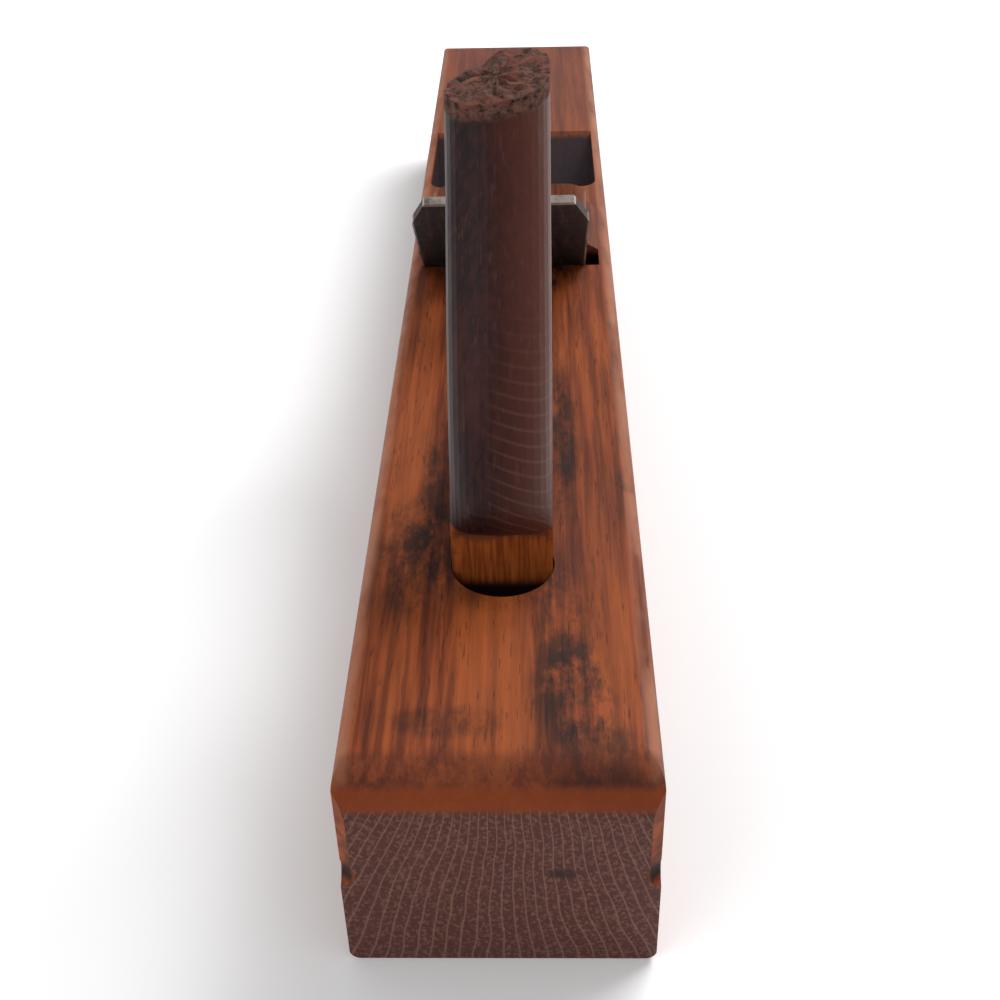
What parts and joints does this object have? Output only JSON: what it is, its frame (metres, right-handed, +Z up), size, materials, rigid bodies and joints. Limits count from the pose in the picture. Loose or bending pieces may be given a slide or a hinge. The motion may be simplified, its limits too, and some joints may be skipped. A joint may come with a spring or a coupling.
{
  "type": "wooden hand plane",
  "caption": "Long wooden try plane with a wedged double iron in an open throat and a worn, broken open tote.",
  "frame": {"origin": "middle of the sole: halfway from heel to toe and halfway across, in the plane of the sole", "axes": "+Y points from the heel to the toe, the way the plane is pushed; +Z is up, out of the top of the stock; +X is to the right of the person pushing"},
  "size_m": [0.082, 0.56, 0.1912],
  "materials": {
    "stock_wood": "old oiled beech, worn and stained",
    "tote_wood": "dark, polished by the hand",
    "iron_steel": "browned old steel with bright worn rims",
    "cap_steel": "browned old steel",
    "boss_brass": "dull",
    "screw_steel": "dark old steel",
    "wedge_wood": "old oiled beech"
  },
  "bodies": {
    "stock": {"stock": "stock_wood", "tote": "tote_wood"},
    "iron": {"cutting_iron": "iron_steel"},
    "cap": {"cap_iron": "cap_steel", "cap_boss": "boss_brass"},
    "screw": {"cap_screw": "screw_steel"},
    "wedge": {"wedge": "wedge_wood"}
  },
  "joints": [
    {"name": "iron_slide", "type": "slide", "parent": "stock", "child": "iron", "axis": [0, -0.7071, 0.7071], "range_m": [0, 0.06]},
    {"name": "cap_slide", "type": "slide", "parent": "iron", "child": "cap", "axis": [0, -0.7155, 0.6986], "range_m": [0, 0.05]},
    {"name": "wedge_lift", "type": "slide", "parent": "cap", "child": "wedge", "axis": [0, -0.5736, 0.8192], "range_m": [0, 0.07]},
    {"name": "screw_turn", "type": "hinge", "parent": "cap", "child": "screw", "pos_m": [-0.0027, 0.02306, 0.04661], "axis": [0, -0.6986, -0.7155], "range_deg": [0, 360]}
  ]
}
